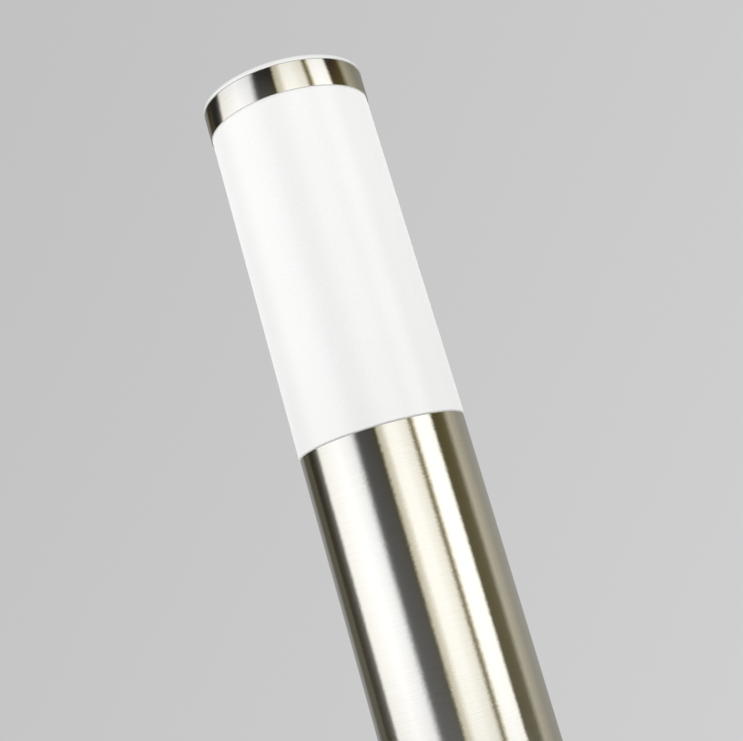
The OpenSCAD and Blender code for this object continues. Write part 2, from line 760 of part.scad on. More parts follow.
module lamp_cap() {
    color([0.80, 0.80, 0.79])
    threaded_sleeve(thread_mid_r, thread_depth, 11, cap_thread_z, cap_thread_len, flange_r = 13.2,
        flange_h = housing_z - cap_rim_z);
}

// Half-width of the lamp's body, flaring from the cap to the globe
function housing_r(t) = 13.6 + (globe_r - 1 - 13.6) * (1 - cos(180 * t)) / 2;

module lamp_housing() {
    h = housing_top_z - housing_z;
    steps = 12;
    color([0.95, 0.95, 0.94])
    translate([0, 0, housing_z]) rotate_extrude()
        polygon(concat(
            [for (i = [0:steps]) [housing_r(i / steps), h * i / steps]],
            [for (i = [steps:-1:0]) [housing_r(i / steps) - lamp_wall, h * i / steps]]));
}

module lamp_globe() {
    rise = lamp_z + lamp_len - globe_mid_z;
    low = asin((housing_top_z + 0.1 - globe_mid_z) / rise);
    steps = 14;
    function arc_point(i, r, h) = let (a = low + (90 - low) * i / steps) [max(0, r * cos(a)), h * sin(a)];
    color([0.97, 0.97, 0.96])
    translate([0, 0, globe_mid_z]) rotate_extrude()
        polygon(concat(
            [for (i = [0:steps]) arc_point(i, globe_r, rise)],
            [for (i = [steps:-1:0]) arc_point(i, globe_r - lamp_wall, rise - lamp_wall)]));
}

module led_board() {
    color([0.92, 0.92, 0.90])
    translate([0, 0, board_z]) difference() {
        cylinder(r = globe_r - 2.8, h = board_t);
        round_hole(1.8, board_t);
    }
}

module led_chips() {
    count = 10;
    chip = [2.8, 3.2, 0.7];
    color([0.96, 0.84, 0.35])
    for (i = [0:count - 1]) rotate([0, 0, 360 * i / count])
        translate([17.5, -chip.y / 2, board_z + board_t + fit_gap]) cube(chip);
}

module driver_board() {
    color([0.10, 0.36, 0.20])
    translate([-8, -driver_t / 2, cap_thread_z + 4]) cube([16, driver_t, 40]);
}

module driver_parts() {
    color([0.15, 0.15, 0.17])
    translate([0, driver_t / 2 + fit_gap, cap_thread_z + 34]) rotate([-90, 0, 0]) cylinder(r = 5, h = 7);
    color([0.85, 0.72, 0.25])
    translate([-4.5, -driver_t / 2 - fit_gap - 6, cap_thread_z + 22]) cube([9, 6, 9]);
}

base_pad();
base_plate();
locating_ring();
side_screws();
cable_grommet();
terminal_bracket();
bracket_screws();
terminal_block();
terminal_tubes();
terminal_screws();
block_screws();
earth_lugs();
earth_screws();
earth_nut();
live_wire();
neutral_wire();
earth_wire_lower();
earth_wire_upper();
post_tube();
seat_collar();
holder_plate();
plate_screws();
holder_body();
holder_shell();
holder_terminals();
holder_terminal_screws();
contact_foot();
centre_contact();
contact_rivets();
holder_screws();
holder_nuts();
diffuser();
foot_ring();
head_orings();
joint_seal();
trim_band();
end_cap();
lamp_contact();
lamp_insulator();
lamp_cap();
lamp_housing();
lamp_globe();
led_board();
led_chips();
driver_board();
driver_parts();
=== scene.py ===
import json
import math

import bmesh
import bpy
from mathutils import Matrix, Vector


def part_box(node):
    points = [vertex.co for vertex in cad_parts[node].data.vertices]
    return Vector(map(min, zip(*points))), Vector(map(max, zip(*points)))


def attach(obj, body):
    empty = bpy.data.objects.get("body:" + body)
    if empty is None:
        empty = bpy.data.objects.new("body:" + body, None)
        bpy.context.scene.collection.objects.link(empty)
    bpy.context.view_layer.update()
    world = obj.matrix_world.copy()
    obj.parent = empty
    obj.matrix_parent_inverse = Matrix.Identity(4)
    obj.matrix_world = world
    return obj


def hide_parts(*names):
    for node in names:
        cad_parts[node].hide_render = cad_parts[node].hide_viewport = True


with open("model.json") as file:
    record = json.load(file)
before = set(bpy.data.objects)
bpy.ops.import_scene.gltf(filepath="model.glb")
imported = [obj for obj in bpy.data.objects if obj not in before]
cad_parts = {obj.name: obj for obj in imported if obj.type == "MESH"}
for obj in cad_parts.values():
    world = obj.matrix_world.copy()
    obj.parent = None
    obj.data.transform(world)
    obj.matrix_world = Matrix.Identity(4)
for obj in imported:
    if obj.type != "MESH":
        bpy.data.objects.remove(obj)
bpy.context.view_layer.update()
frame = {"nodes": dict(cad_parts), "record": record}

NODES = frame["nodes"]
SLOT_OF = {part["node"]: part["material_slot"] for part in frame["record"]["subparts"]}
BODY_OF = {node: body for body, nodes in frame["record"]["behaviour"]["bodies"].items() for node in nodes}
MM = 0.001
TAU = 2 * math.pi
ROUND = 288             # segments of a large turned piece
CREASE = math.radians(32)       # edges sharper than this are shown sharp


# ---------- shapes ----------

def radius(node):
    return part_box(node)[1].x


def bottom(node):
    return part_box(node)[0].z


def top(node):
    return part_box(node)[1].z


def circle(r, count, x=0, y=0):
    """Points (x, y) round a circle."""
    return [(x + r * math.cos(TAU * k / count), y + r * math.sin(TAU * k / count)) for k in range(count)]


def make(name, verts, faces):
    """A mesh object, shaded smooth except across sharp edges."""
    mesh = bpy.data.meshes.new(name)
    mesh.from_pydata([tuple(v) for v in verts], [], faces)
    mesh.validate()
    work = bmesh.new()
    work.from_mesh(mesh)
    bmesh.ops.recalc_face_normals(work, faces=work.faces)
    work.to_mesh(mesh)
    work.free()
    for polygon in mesh.polygons:
        polygon.use_smooth = True
    mesh.set_sharp_from_angle(angle=CREASE)
    obj = bpy.data.objects.new(name, mesh)
    bpy.context.scene.collection.objects.link(obj)
    return obj


def rounded(outline, steps=6):
    """A closed outline with round corners. Each point is (r, z) or (r, z, corner radius)."""
    result = []
    count = len(outline)
    for i, corner in enumerate(outline):
        here = Vector(corner[:2])
        size = corner[2] if len(corner) > 2 else 0
        before = Vector(outline[i - 1][:2]) - here
        after = Vector(outline[(i + 1) % count][:2]) - here
        if not size or not before.length or not after.length:
            result.append(tuple(here))
            continue
        before.normalize()
        after.normalize()
        half = before.angle(after) / 2
        reach = size / math.tan(half)
        centre = here + (before + after).normalized() * (size / math.sin(half))
        start, end = here + before * reach - centre, here + after * reach - centre
        sweep = start.angle(end)
        for s in range(steps + 1):
            t = s / steps
            point = (start * math.sin((1 - t) * sweep) + end * math.sin(t * sweep)) / math.sin(sweep)
            result.append(tuple(centre + point))
    return result


def turned(outline, segments=ROUND):
    """The surface of a closed (r, z) outline turned about the axis. A point at r = 0 becomes a pole."""
    verts, rings = [], []
    for r, z in outline:
        if r < 1e-7:
            rings.append([len(verts)])
            verts.append((0, 0, z))
        else:
            rings.append(list(range(len(verts), len(verts) + segments)))
            verts += [(x, y, z) for x, y in circle(r, segments)]
    faces = []
    for a, b in zip(rings, rings[1:] + rings[:1]):
        for k in range(segments):
            n = (k + 1) % segments
            if len(a) > 1 and len(b) > 1:
                faces.append((a[k], a[n], b[n], b[k]))
            elif len(a) > 1:
                faces.append((a[k], a[n], b[0]))
            elif len(b) > 1:
                faces.append((a[0], b[n], b[k]))
    return verts, faces


def lathe(name, outline, segments=ROUND):
    return make(name, *turned(outline, segments))


def join(*solids):
    """Puts several surfaces, each (points, faces), into one."""
    verts, faces = [], []
    for points, polygons in solids:
        faces += [tuple(i + len(verts) for i in polygon) for polygon in polygons]
        verts += list(points)
    return verts, faces


def moved(solid, place):
    points, polygons = solid
    return [place @ Vector(p) for p in points], polygons


def surface(obj):
    """The points and faces of obj, which is deleted."""
    solid = ([v.co.copy() for v in obj.data.vertices], [tuple(p.vertices) for p in obj.data.polygons])
    bpy.data.objects.remove(obj)
    return solid


def extruded(outline, low, high):
    """The surface of a closed (x, y) outline drawn up from low to high."""
    count = len(outline)
    verts = [(x, y, z) for z in (low, high) for x, y in outline]
    faces = [tuple(range(count))[::-1], tuple(range(count, 2 * count))]
    faces += [(k, (k + 1) % count, count + (k + 1) % count, count + k) for k in range(count)]
    return verts, faces


def prism(outline, low, high):
    """An outline drawn up from low to high, to cut with or to add to a casting."""
    return make("cutter", *extruded(outline, low, high))


def slab(low, high):
    """A plain block between two corners, to cut with or to add to a casting."""
    outline = [(low[0], low[1]), (high[0], low[1]), (high[0], high[1]), (low[0], high[1])]
    return prism(outline, low[2], high[2])


def cut(obj, cutters, added=()):
    """Joins what is added to obj, cuts the cutters out of it and deletes them all."""
    tools = [(tool, "UNION") for tool in added] + [(tool, "DIFFERENCE") for tool in cutters]
    for tool, operation in tools:
        modifier = obj.modifiers.new("cut", "BOOLEAN")
        modifier.operation = operation
        modifier.solver = "EXACT"
        modifier.object = tool
    bpy.context.view_layer.update()
    evaluated = obj.evaluated_get(bpy.context.evaluated_depsgraph_get())
    result = bpy.data.meshes.new_from_object(evaluated)
    obj.modifiers.clear()
    obj.data = result
    result.set_sharp_from_angle(angle=CREASE)
    for tool, _ in tools:
        bpy.data.objects.remove(tool)
    return obj


def drill(r, start, direction, length, segments=48):
    """A cylinder to cut with or to add, from start along direction."""
    turn = Vector((0, 0, 1)).rotation_difference(Vector(direction)).to_matrix().to_4x4()
    place = Matrix.Translation(Vector(start)) @ turn
    return make("cutter", *moved(extruded(circle(r, segments), 0, length), place))


def stands_for(obj, node):
    """obj is shown in place of the CAD node, rides on its body and takes its material."""
    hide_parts(node)
    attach(obj, BODY_OF[node])
    obj.data.materials.clear()
    obj.data.materials.append(MATERIALS[SLOT_OF[node]])
    return obj


# ---------- material building blocks ----------

class NodeTree:
    """Short ways to add and link shader nodes."""

    def __init__(self, owner):
        owner.use_nodes = True
        self.tree = owner.node_tree

    def add(self, kind, **settings):
        made = self.tree.nodes.new(kind)
        for name, value in settings.items():
            setattr(made, name, value)
        return made

    def link(self, output, target):
        self.tree.links.new(output, target)

    def feed(self, sockets, values):
        """Gives each socket its value, which is a number, a colour or another node's output."""
        for socket, value in zip(sockets, values):
            if hasattr(value, "is_output"):
                self.link(value, socket)
            else:
                socket.default_value = value

    def math(self, operation, *values):
        made = self.add("ShaderNodeMath", operation=operation)
        self.feed(made.inputs, values)
        return made.outputs[0]

    def vector_math(self, operation, *values):
        made = self.add("ShaderNodeVectorMath", operation=operation)
        self.feed(made.inputs, values)
        return made.outputs[0]

    def mix(self, factor, a, b):
        made = self.add("ShaderNodeMix", data_type="RGBA")
        self.feed([made.inputs[name] for name in ("Factor", "A", "B")], (factor, a, b))
        return made.outputs["Result"]

    def grey(self, level):
        made = self.add("ShaderNodeCombineColor")
        self.feed(made.inputs, (level,) * 3)
        return made.outputs[0]


class Shader(NodeTree):
    """A Principled material with short ways to add noise, ramps and bump."""

    def __init__(self, name, color, roughness, metallic=0.0, **sockets):
        self.material = bpy.data.materials.new(name)
        super().__init__(self.material)
        self.bsdf = self.tree.nodes["Principled BSDF"]
        self.color = color
        self.set("Base Color", (*color, 1))
        self.set("Roughness", roughness)
        self.set("Metallic", metallic)
        for socket, value in sockets.items():
            self.set(socket.replace("_", " "), value)
        self.position = self.add("ShaderNodeTexCoord").outputs["Object"]

    def set(self, socket, value):
        self.bsdf.inputs[socket].default_value = value

    def follow_lathe(self):
        """Adds the distance from the axis to z, so that noise stretched along x and y gives rings."""
        parts = self.add("ShaderNodeSeparateXYZ")
        self.link(self.position, parts.inputs[0])
        x, y, z = parts.outputs
        squares = self.math("ADD", self.math("MULTIPLY", x, x), self.math("MULTIPLY", y, y))
        whole = self.add("ShaderNodeCombineXYZ")
        self.feed(whole.inputs, (x, y, self.math("ADD", z, self.math("SQRT", squares))))
        self.position = whole.outputs[0]

    def scaled(self, scale):
        """Object coordinates in metres, times scale on each axis."""
        mapping = self.add("ShaderNodeMapping")
        mapping.inputs["Scale"].default_value = scale
        self.link(self.position, mapping.inputs["Vector"])
        return mapping.outputs["Vector"]

    def noise(self, scale, detail=3, roughness=0.55):
        """Noise from 0 to 1, with scale cells a metre on each axis."""
        made = self.add("ShaderNodeTexNoise")
        made.inputs["Scale"].default_value = 1
        made.inputs["Detail"].default_value = detail
        made.inputs["Roughness"].default_value = roughness
        self.link(self.scaled(scale), made.inputs["Vector"])
        return made.outputs["Fac"]

    def spread(self, value, low, high, from_low=0.3, from_high=0.7):
        """Maps value from its usual range to low..high."""
        made = self.add("ShaderNodeMapRange")
        made.inputs["From Min"].default_value = from_low
        made.inputs["From Max"].default_value = from_high
        made.inputs["To Min"].default_value = low
        made.inputs["To Max"].default_value = high
        self.link(value, made.inputs["Value"])
        return made.outputs["Result"]

    def tint(self, value, dark, light=None):
        """Base colour between dark and light as value goes from 0 to 1."""
        self.link(self.mix(value, (*dark, 1), (*(light or self.color), 1)), self.bsdf.inputs["Base Color"])

    def roughness(self, value):
        self.link(value, self.bsdf.inputs["Roughness"])

    def bump(self, *layers):
        """Adds bump layers, each (height, depth in metres)."""
        normal = None
        for height, depth in layers:
            made = self.add("ShaderNodeBump")
            made.inputs["Strength"].default_value = 1
            made.inputs["Distance"].default_value = depth
            self.link(height, made.inputs["Height"])
            if normal:
                self.link(normal, made.inputs["Normal"])
            normal = made.outputs["Normal"]
        self.link(normal, self.bsdf.inputs["Normal"])


def shade(color, factor):
    return tuple(c * factor for c in color)


def brushed_round(name, color, roughness, line_depth=0.6e-6, grain_depth=30e-6):
    """Metal with fine lines brushed round the light's axis."""
    s = Shader(name, color, roughness, metallic=1.0, Anisotropic=0.92, Anisotropic_Rotation=0.25)
    s.follow_lathe()
    tangent = s.add("ShaderNodeTangent", direction_type="RADIAL", axis="Z")
    s.link(tangent.outputs["Tangent"], s.bsdf.inputs["Tangent"])
    lines = s.noise((50, 50, 3800), detail=2)
    grain = s.noise((350, 350, 1500), detail=1)
    s.roughness(s.spread(lines, roughness * 0.92, roughness * 1.08))
    s.tint(s.spread(lines, 0, 1), shade(color, 0.965), shade(color, 1.02))
    s.bump((grain, grain_depth), (lines, line_depth))
    return s.material


def plated(name, color, roughness, mottle=900, depth=2e-6):
    """Plated or plain metal: mottled, with faint handling marks."""
    s = Shader(name, color, roughness, metallic=1.0)
    spangle = s.noise((mottle, mottle, mottle), detail=4)
    marks = s.noise((140, 140, 140), detail=2)
    s.roughness(s.spread(spangle, roughness * 0.75, roughness * 1.35))
    s.tint(s.spread(marks, 0, 1), shade(color, 0.82))
    s.bump((spangle, depth))
    return s.material


def moulded(name, color, roughness, grain=2500, depth=3e-6, dark=0.96, **sockets):
    """Moulded plastic: a fine grain under a soft gloss, with a slow waviness in the moulding."""
    s = Shader(name, color, roughness, **sockets)
    texture = s.noise((grain, grain, grain), detail=2)
    wave = s.noise((45, 45, 30), detail=1)
    s.roughness(s.spread(texture, roughness * 0.9, roughness * 1.15))
    s.tint(s.spread(wave, 0, 1), shade(color, dark))
    s.bump((wave, 12 * depth), (texture, depth))
    return s.material


def opal(name, color, roughness):
    """Opal polycarbonate: a satin skin that turns matt where it is seen edge on."""
    s = Shader(name, color, roughness, IOR=1.6)
    edge_on = s.add("ShaderNodeLayerWeight").outputs["Facing"]
    texture = s.noise((2500, 2500, 2500), detail=2)
    wave = s.noise((45, 45, 30), detail=1)
    skin = s.spread(texture, roughness * 0.9, roughness * 1.15)
    s.roughness(s.math("ADD", skin, s.math("MULTIPLY", s.math("POWER", edge_on, 2.5), 0.7)))
    s.tint(s.spread(wave, 0, 1), shade(color, 0.99))
    s.bump((wave, 18e-6), (texture, 1.5e-6))
    return s.material


def rubber(name, color, roughness=0.75):
    s = Shader(name, color, roughness)
    pores = s.noise((3200, 3200, 3200), detail=4)
    bloom = s.noise((90, 90, 90), detail=3)
    s.tint(s.spread(bloom, 0, 1), color, tuple(c + 0.015 for c in color))
    s.roughness(s.spread(bloom, roughness * 0.9, min(1, roughness * 1.15)))
    s.bump((pores, 12e-6))
    return s.material


def porcelain(name, color, roughness, **sockets):
    s = Shader(name, color, roughness, **sockets)
    body = s.noise((260, 260, 260), detail=4)
    pits = s.noise((2200, 2200, 2200), detail=2)
    s.tint(s.spread(body, 0, 1), shade(color, 0.93))
    s.roughness(s.spread(pits, roughness * 0.85, roughness * 1.1))
    s.bump((pits, 10e-6), (body, 20e-6))
    return s.material


def two_colour_wire(name, first, second):
    """Insulation with a lengthwise stripe of a second colour."""
    s = Shader(name, first, 0.45)
    stripe = s.noise((900, 900, 12), detail=0)
    s.tint(s.spread(stripe, 0, 1, 0.48, 0.52), first, second)
    grain = s.noise((4000, 4000, 4000), detail=2)
    s.bump((grain, 4e-6))
    return s.material


STEEL = (0.70, 0.695, 0.68)
OPAL = (0.93, 0.93, 0.925)

MATERIALS = {
    "brushed_stainless": brushed_round("brushed_stainless", STEEL, 0.135),
    "brushed_stainless_band": brushed_round(
        "brushed_stainless_band", STEEL, 0.10, grain_depth=20e-6),
    "stainless_foot": brushed_round("stainless_foot", STEEL, 0.27),
    "stainless_screw": plated("stainless_screw", STEEL, 0.22),
    "opal_diffuser": opal("opal_diffuser", OPAL, 0.26),
    "white_cap": moulded("white_cap", shade(OPAL, 0.95), 0.36, grain=1800, depth=3e-6),
    "white_moulding": moulded("white_moulding", (0.86, 0.86, 0.85), 0.45),
    "grey_moulding": moulded("grey_moulding", (0.62, 0.62, 0.61), 0.5, grain=1500, depth=8e-6),
    "epdm_rubber": rubber("epdm_rubber", (0.025, 0.025, 0.027)),
    "black_seal": rubber("black_seal", (0.05, 0.05, 0.052), 0.6),
    "white_seal": rubber("white_seal", (0.80, 0.80, 0.79), 0.6),
    "zinc_steel": plated("zinc_steel", (0.56, 0.58, 0.60), 0.38, mottle=420),
    "zinc_screw": plated("zinc_screw", (0.60, 0.62, 0.64), 0.3),
    "terminal_nylon": moulded("terminal_nylon", (0.82, 0.82, 0.79), 0.42, dark=0.93),
    "contact_brass": plated("contact_brass", (0.80, 0.60, 0.26), 0.28),
    "spring_bronze": plated("spring_bronze", (0.78, 0.53, 0.28), 0.25),
    "tinned_copper": plated("tinned_copper", (0.72, 0.72, 0.70), 0.33),
    "brown_insulation": moulded("brown_insulation", (0.16, 0.06, 0.025), 0.45, dark=0.85),
    "blue_insulation": moulded("blue_insulation", (0.02, 0.09, 0.40), 0.45, dark=0.85),
    "green_yellow_insulation": two_colour_wire(
        "green_yellow_insulation", (0.06, 0.35, 0.04), (0.80, 0.68, 0.03)),
    "holder_ceramic": porcelain("holder_ceramic", (0.84, 0.82, 0.76), 0.55),
    "shell_nickel": plated("shell_nickel", (0.70, 0.66, 0.58), 0.24),
    "lamp_nickel": plated("lamp_nickel", (0.74, 0.73, 0.70), 0.2),
    "solder_tin": plated("solder_tin", (0.68, 0.68, 0.66), 0.36, mottle=1600, depth=6e-6),
    "black_glass": porcelain("black_glass", (0.02, 0.02, 0.024), 0.16, Coat_Weight=0.5),
    "lamp_plastic": moulded("lamp_plastic", (0.88, 0.88, 0.87), 0.38),
    "lamp_opal": moulded(
        "lamp_opal", (0.93, 0.93, 0.92), 0.42, Subsurface_Weight=0.2, Subsurface_Scale=0.002),
    "board_white": moulded("board_white", (0.84, 0.84, 0.82), 0.35),
    "led_phosphor": moulded("led_phosphor", (0.90, 0.68, 0.12), 0.5, dark=0.85),
    "board_green": moulded("board_green", (0.02, 0.17, 0.06), 0.3, dark=0.7),
    "driver_black": moulded("driver_black", (0.04, 0.04, 0.045), 0.4),
}

for node, obj in NODES.items():
    for material_slot in obj.material_slots:
        material_slot.material = MATERIALS[SLOT_OF[node]]


# ---------- foot and post ----------

JOINT = bottom("diffuser")
POST_R = radius("post_tube")
POST_WALL = 1.2 * MM
SIDE_ANGLES = (30, 150, 270)
SIDE_SCREW_Z = (bottom("side_screws") + top("side_screws")) / 2
BOLT_ANGLES = (90, 210, 330)
BOLT_RING = 52 * MM
PAD_BORE = 16 * MM
PLATE_BORE = 10 * MM
TAPPED_M4 = 2.02 * MM           # radii of the holes for 4 mm and 3 mm screws
TAPPED_M3 = 1.52 * MM
RIVET_HOLE = 0.92 * MM
BRACKET_SCREWS = (9, 21)        # x on each side, and y, in millimetres


def round_the_axis(angle):
    return Matrix.Rotation(math.radians(angle), 4, "Z")


def bolt_holes(r, low, length):
    return [drill(r, round_the_axis(a) @ Vector((BOLT_RING, 0, low)), (0, 0, 1), length) for a in BOLT_ANGLES]


def side_holes(r, start):
    """Cutters that run outwards from the distance start, one for each side screw."""
    holes = []
    for angle in SIDE_ANGLES:
        out = round_the_axis(angle) @ Vector((1, 0, 0))
        holes.append(drill(r, out * start + Vector((0, 0, SIDE_SCREW_Z)), out, 6 * MM))
    return holes


def base_pad_skin():
    low, high = bottom("base_pad"), top("base_pad")
    pad = lathe("base_pad_skin", rounded([
        (PAD_BORE, low, 0.3 * MM), (radius("base_pad"), low, 0.5 * MM),
        (radius("base_pad"), high, 0.3 * MM), (PAD_BORE, high, 0.3 * MM)]))
    return stands_for(cut(pad, bolt_holes(4.25 * MM, low - MM, 4 * MM)), "base_pad")


def base_plate_skin():
    low, high = bottom("base_plate"), top("base_plate")
    outer = radius("base_plate")
    plate = lathe("base_plate_skin", rounded([
        (PLATE_BORE, low, 0.25 * MM), (outer, low, 0.3 * MM), (outer, high, 1.5 * MM),
        (PLATE_BORE, high, 0.3 * MM)]))
    x, y = BRACKET_SCREWS
    holes = bolt_holes(3.25 * MM, low - MM, 6 * MM)
    holes += [drill(TAPPED_M4, (s * x * MM, y * MM, low - MM), (0, 0, 1), 6 * MM) for s in (-1, 1)]
    return stands_for(cut(plate, holes), "base_plate")


def locating_ring_skin():
    low, high = bottom("locating_ring"), top("locating_ring")
    outer = radius("locating_ring")
    inner = outer - 2.5 * MM
    ring = lathe("locating_ring_skin", rounded([
        (inner, low, 0.2 * MM), (outer, low, 0.2 * MM), (outer, high, 0.8 * MM), (inner, high, 0.4 * MM)]))
    return stands_for(cut(ring, side_holes(TAPPED_M4, inner - MM)), "locating_ring")


def grommet_skin():
    """A push-in grommet: a flange below the plate, a waist in its hole and a tapered lip above."""
    low, high = bottom("cable_grommet"), top("cable_grommet")
    bore, waist, flange = 4.5 * MM, PLATE_BORE - 0.05 * MM, radius("cable_grommet")
    under, over = bottom("base_plate") - 0.05 * MM, top("base_plate") + 0.05 * MM
    grommet = lathe("cable_grommet_skin", rounded([
        (bore, low, 0.6 * MM), (flange, low, 0.5 * MM), (flange, under, 0.3 * MM), (waist, under, 0.1 * MM),
        (waist, over, 0.1 * MM), (flange, over, 0.25 * MM), (flange - 1.4 * MM, high, 0.6 * MM),
        (8.2 * MM, high, 0.4 * MM), (7.4 * MM, high - 0.9 * MM, 0.4 * MM),
        (6.2 * MM, high - 0.9 * MM, 0.3 * MM), (5.6 * MM, high - 0.1 * MM, 0.3 * MM),
        (bore, high - 0.1 * MM, 0.4 * MM)]), 144)
    return stands_for(grommet, "cable_grommet")


def post_skin():
    low, high = bottom("post_tube"), top("post_tube")
    inner = POST_R - POST_WALL
    tube = lathe("post_skin", rounded([
        (inner, low, 0.1 * MM), (POST_R, low, 0.15 * MM),
        (POST_R, high, 0.25 * MM), (inner, high, 0.2 * MM)]))
    return stands_for(cut(tube, side_holes(2.25 * MM, inner - 2 * MM)), "post_tube")


# ---------- head ----------

WALL = 2.2 * MM
BAND_T = 0.5 * MM
BAND_GAP = 0.05 * MM    # between the band and what it sits on
BAND_LOW = bottom("trim_band")
FOOT_R = radius("diffuser")
NECK_R = radius("trim_band") - BAND_T - BAND_GAP
DRAFT = (FOOT_R - NECK_R) / (BAND_LOW - BAND_GAP - JOINT)
ORING_DEPTHS = (4.5 * MM, 10 * MM)      # below the joint


def diffuser_skin():
    high = top("diffuser")
    bore_top = FOOT_R - WALL - DRAFT * (high - JOINT)
    shell = lathe("diffuser_skin", rounded([
        (FOOT_R - WALL, JOINT, 0.3 * MM), (FOOT_R, JOINT, 0.45 * MM), (NECK_R, BAND_LOW - BAND_GAP),
        (NECK_R, high, 0.2 * MM), (bore_top, high, 0.2 * MM)]))
    return stands_for(shell, "diffuser")


def band_skin():
    low, high = bottom("trim_band"), top("trim_band")
    outer = radius("trim_band")
    band = lathe("trim_band_skin", rounded([
        (outer - BAND_T, low, 0.1 * MM), (outer, low, 0.15 * MM),
        (outer, high, 0.12 * MM), (outer - BAND_T, high, 0.1 * MM)]))
    return stands_for(band, "trim_band")


def cap_skin():
    low, high = bottom("end_cap"), top("end_cap")
    lip = top("trim_band") + BAND_GAP
    outer = radius("end_cap")
    edge = 3.1 * MM
    crown = high - lip - edge
    flat = outer - edge
    spigot = FOOT_R - WALL - DRAFT * (lip - JOINT) - 0.1 * MM
    underside = lip + 1.1 * MM
    corner = [(flat + edge * math.cos(a), lip + edge * math.sin(a))
              for a in (math.pi / 2 * i / 16 for i in range(17))]
    dome = [(flat * s, lip + edge + crown * (1 - s * s)) for s in (i / 12 for i in range(11, -1, -1))]
    skin = lathe("end_cap_skin", rounded([
        (0, underside), (spigot - 2 * MM, underside, 0.8 * MM), (spigot - 2 * MM, low, 0.3 * MM),
        (spigot, low, 0.5 * MM), (spigot, lip)]) + corner + dome)
    return stands_for(skin, "end_cap")


def foot_ring_skin():
    """The diffuser's lower ring: a socket in the diffuser, and a spigot with two O-ring grooves."""
    low, high = bottom("foot_ring"), top("foot_ring")
    bore, spigot, socket = 32.4 * MM, 34.7 * MM, radius("foot_ring")
    outline = [(bore, low, 0.3 * MM), (spigot - 0.8 * MM, low, 0.3 * MM), (spigot, low + 1.4 * MM, 0.5 * MM)]
    groove, half = spigot - 1.25 * MM, 0.8 * MM
    for depth in reversed(ORING_DEPTHS):
        middle = JOINT - depth
        outline += [(spigot, middle - half, 0.15 * MM), (groove, middle - half, 0.2 * MM),
                    (groove, middle + half, 0.2 * MM), (spigot, middle + half, 0.15 * MM)]
    outline += [(spigot, JOINT, 0.2 * MM), (socket, JOINT, 0.2 * MM), (socket, high - 0.6 * MM, 0.2 * MM),
                (socket - 0.6 * MM, high, 0.2 * MM), (socket - 2 * MM, high, 0.3 * MM),
                (bore, high - 4 * MM, 1 * MM)]
    return stands_for(lathe("foot_ring_skin", rounded(outline)), "foot_ring")


def orings_skin():
    cord = 0.7 * MM
    middle = radius("head_orings") - cord
    rings = [turned(circle(cord, 20, middle, JOINT - depth)) for depth in ORING_DEPTHS]
    return stands_for(make("head_orings_skin", *join(*rings)), "head_orings")


def seal_skin():
    low, high = bottom("joint_seal"), top("joint_seal")
    inner, outer = 34.8 * MM, radius("joint_seal")
    seal = lathe("joint_seal_skin", rounded([
        (inner, low, 0.08 * MM), (outer, low, 0.1 * MM), (outer, high, 0.1 * MM), (inner, high, 0.08 * MM)]))
    return stands_for(seal, "joint_seal")


# ---------- lampholder and its seat ----------

LEDGE = top("holder_plate") - 1.5 * MM      # underside of the holder plate
HOLDER_LOW = top("holder_plate")
LAMP_TIP = bottom("lamp_contact")
PITCH_OF_THREAD = 3.629 * MM
THREAD_DEPTH = 0.52 * MM
LEDGE_BORE = 27.2 * MM
COLLAR_BORE = 35 * MM
BOSS_RING = 30.6                # the plate screws' distance from the axis, in millimetres
HOLDER_BORE = 14.3 * MM
EAR_X = 22                      # the holder screws' distance from the axis, in millimetres
SHELL_RIVET = 11 * MM           # distance of the shell's rivet from the axis


def collar_skin():
    low, high = bottom("seat_collar") + 5 * MM, top("seat_collar")
    outer = radius("seat_collar")
    ledge = LEDGE - 0.05 * MM
    collar = lathe("seat_collar_skin", rounded([
        (LEDGE_BORE, low, 0.4 * MM), (outer - 0.4 * MM, low), (outer, low + 0.4 * MM),
        (outer, high, 0.25 * MM), (COLLAR_BORE, high, 0.8 * MM), (COLLAR_BORE, ledge, 0.6 * MM),
        (LEDGE_BORE, ledge, 0.5 * MM)]))
    bosses, holes = [], []
    for angle in BOLT_ANGLES:
        foot = round_the_axis(angle) @ Vector((BOSS_RING * MM, 0, low - 5 * MM))
        bosses.append(drill(3.2 * MM, foot, (0, 0, 1), 6 * MM))
        holes.append(drill(TAPPED_M3, foot + Vector((0, 0, MM)), (0, 0, 1), 20 * MM))
    return stands_for(cut(collar, holes, bosses), "seat_collar")


def holder_body_skin():
    """A porcelain holder: a waisted barrel with a rolled rim, on two ears."""
    low = HOLDER_LOW
    barrel = lathe("holder_body_skin", rounded([
        (0, low), (19.2 * MM, low, 0.6 * MM), (19.2 * MM, low + 11 * MM, 1.2 * MM),
        (18.2 * MM, low + 13 * MM, 1.2 * MM), (18.2 * MM, low + 32 * MM, 0.5 * MM),
        (19.1 * MM, low + 32.7 * MM, 0.5 * MM), (19.1 * MM, low + 34.7 * MM, 0.5 * MM),
        (18.3 * MM, low + 35.5 * MM, 0.4 * MM), (0, low + 35.5 * MM)]), 192)
    half_turn = [math.pi * (k / 32 - 0.5) for k in range(33)]
    ear = [(EAR_X * MM + 5 * MM * math.cos(a), 5 * MM * math.sin(a)) for a in half_turn]
    ears = [prism(ear + [(-x, -y) for x, y in ear], low, low + 5 * MM)]
    holes = [drill(HOLDER_BORE, (0, 0, low + 8 * MM), (0, 0, 1), 40 * MM, 144),
             drill(HOLDER_BORE, (0, 0, low - MM), (0, 0, 1), 7 * MM, 144)]
    for s in (-1, 1):
        holes.append(drill(TAPPED_M3, (s * EAR_X * MM, 0, low - MM), (0, 0, 1), 8 * MM))
        holes.append(drill(RIVET_HOLE, (s * SHELL_RIVET, 0, low + 5 * MM), (0, 0, 1), 4 * MM))
    return stands_for(cut(barrel, holes, ears), "holder_body")


